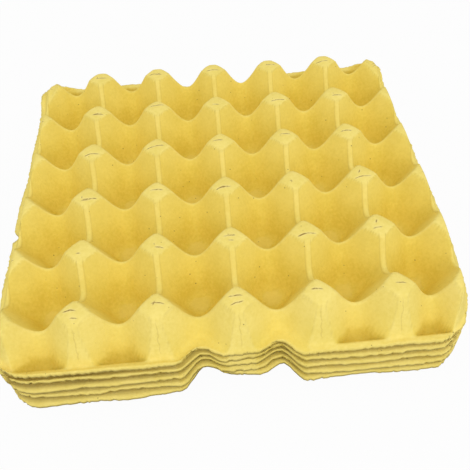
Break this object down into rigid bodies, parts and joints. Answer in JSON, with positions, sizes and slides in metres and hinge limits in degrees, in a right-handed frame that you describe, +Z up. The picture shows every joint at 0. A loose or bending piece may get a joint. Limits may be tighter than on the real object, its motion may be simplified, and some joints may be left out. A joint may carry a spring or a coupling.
{
  "type": "stack of pulp egg trays",
  "caption": "Nested stack of square moulded pulp egg trays, with tapered cups between pyramid posts and a flat rim notched at the front and back, for holding and carrying eggs.",
  "frame": {"origin": "centre of the stack's outline, on the surface that the lowest tray's cups stand on", "axes": "+Z up, +X along the side with the six cups, -Y towards the viewer of the picture"},
  "size_m": [0.295, 0.295, 0.0629],
  "materials": {
    "pulp": "matte fibrous moulded pulp dyed yellow"
  },
  "bodies": {
    "root": {"tray_1": "pulp", "tray_2": "pulp", "tray_3": "pulp", "tray_4": "pulp", "tray_5": "pulp"}
  },
  "joints": []
}
